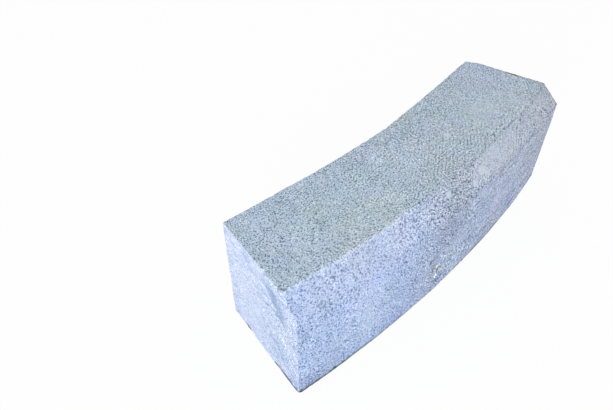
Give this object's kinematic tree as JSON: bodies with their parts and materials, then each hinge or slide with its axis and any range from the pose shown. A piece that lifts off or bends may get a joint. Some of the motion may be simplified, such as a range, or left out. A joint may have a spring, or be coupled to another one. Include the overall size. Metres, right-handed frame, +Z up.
{
  "type": "granite kerb stone",
  "caption": "Curved granite kerb stone: a solid block bent to a plan radius, standing upright, with a chamfer along the top of its convex road face and sawn radial ends.",
  "frame": {"origin": "middle of the bounding box at bed level: halfway along the stone, halfway across its box, on the underside", "axes": "+X along the length of the kerb (the chord of its curve), -Y towards the road (the convex, chamfered face), +Z up as laid"},
  "size_m": [0.796, 0.2488, 0.25],
  "materials": {
    "granite": "fine-grained blue-grey granite, bush-hammered on the top and chamfer, sawn on the ends and faces, matt"
  },
  "bodies": {
    "root": {"kerb_stone": "granite"}
  },
  "joints": []
}
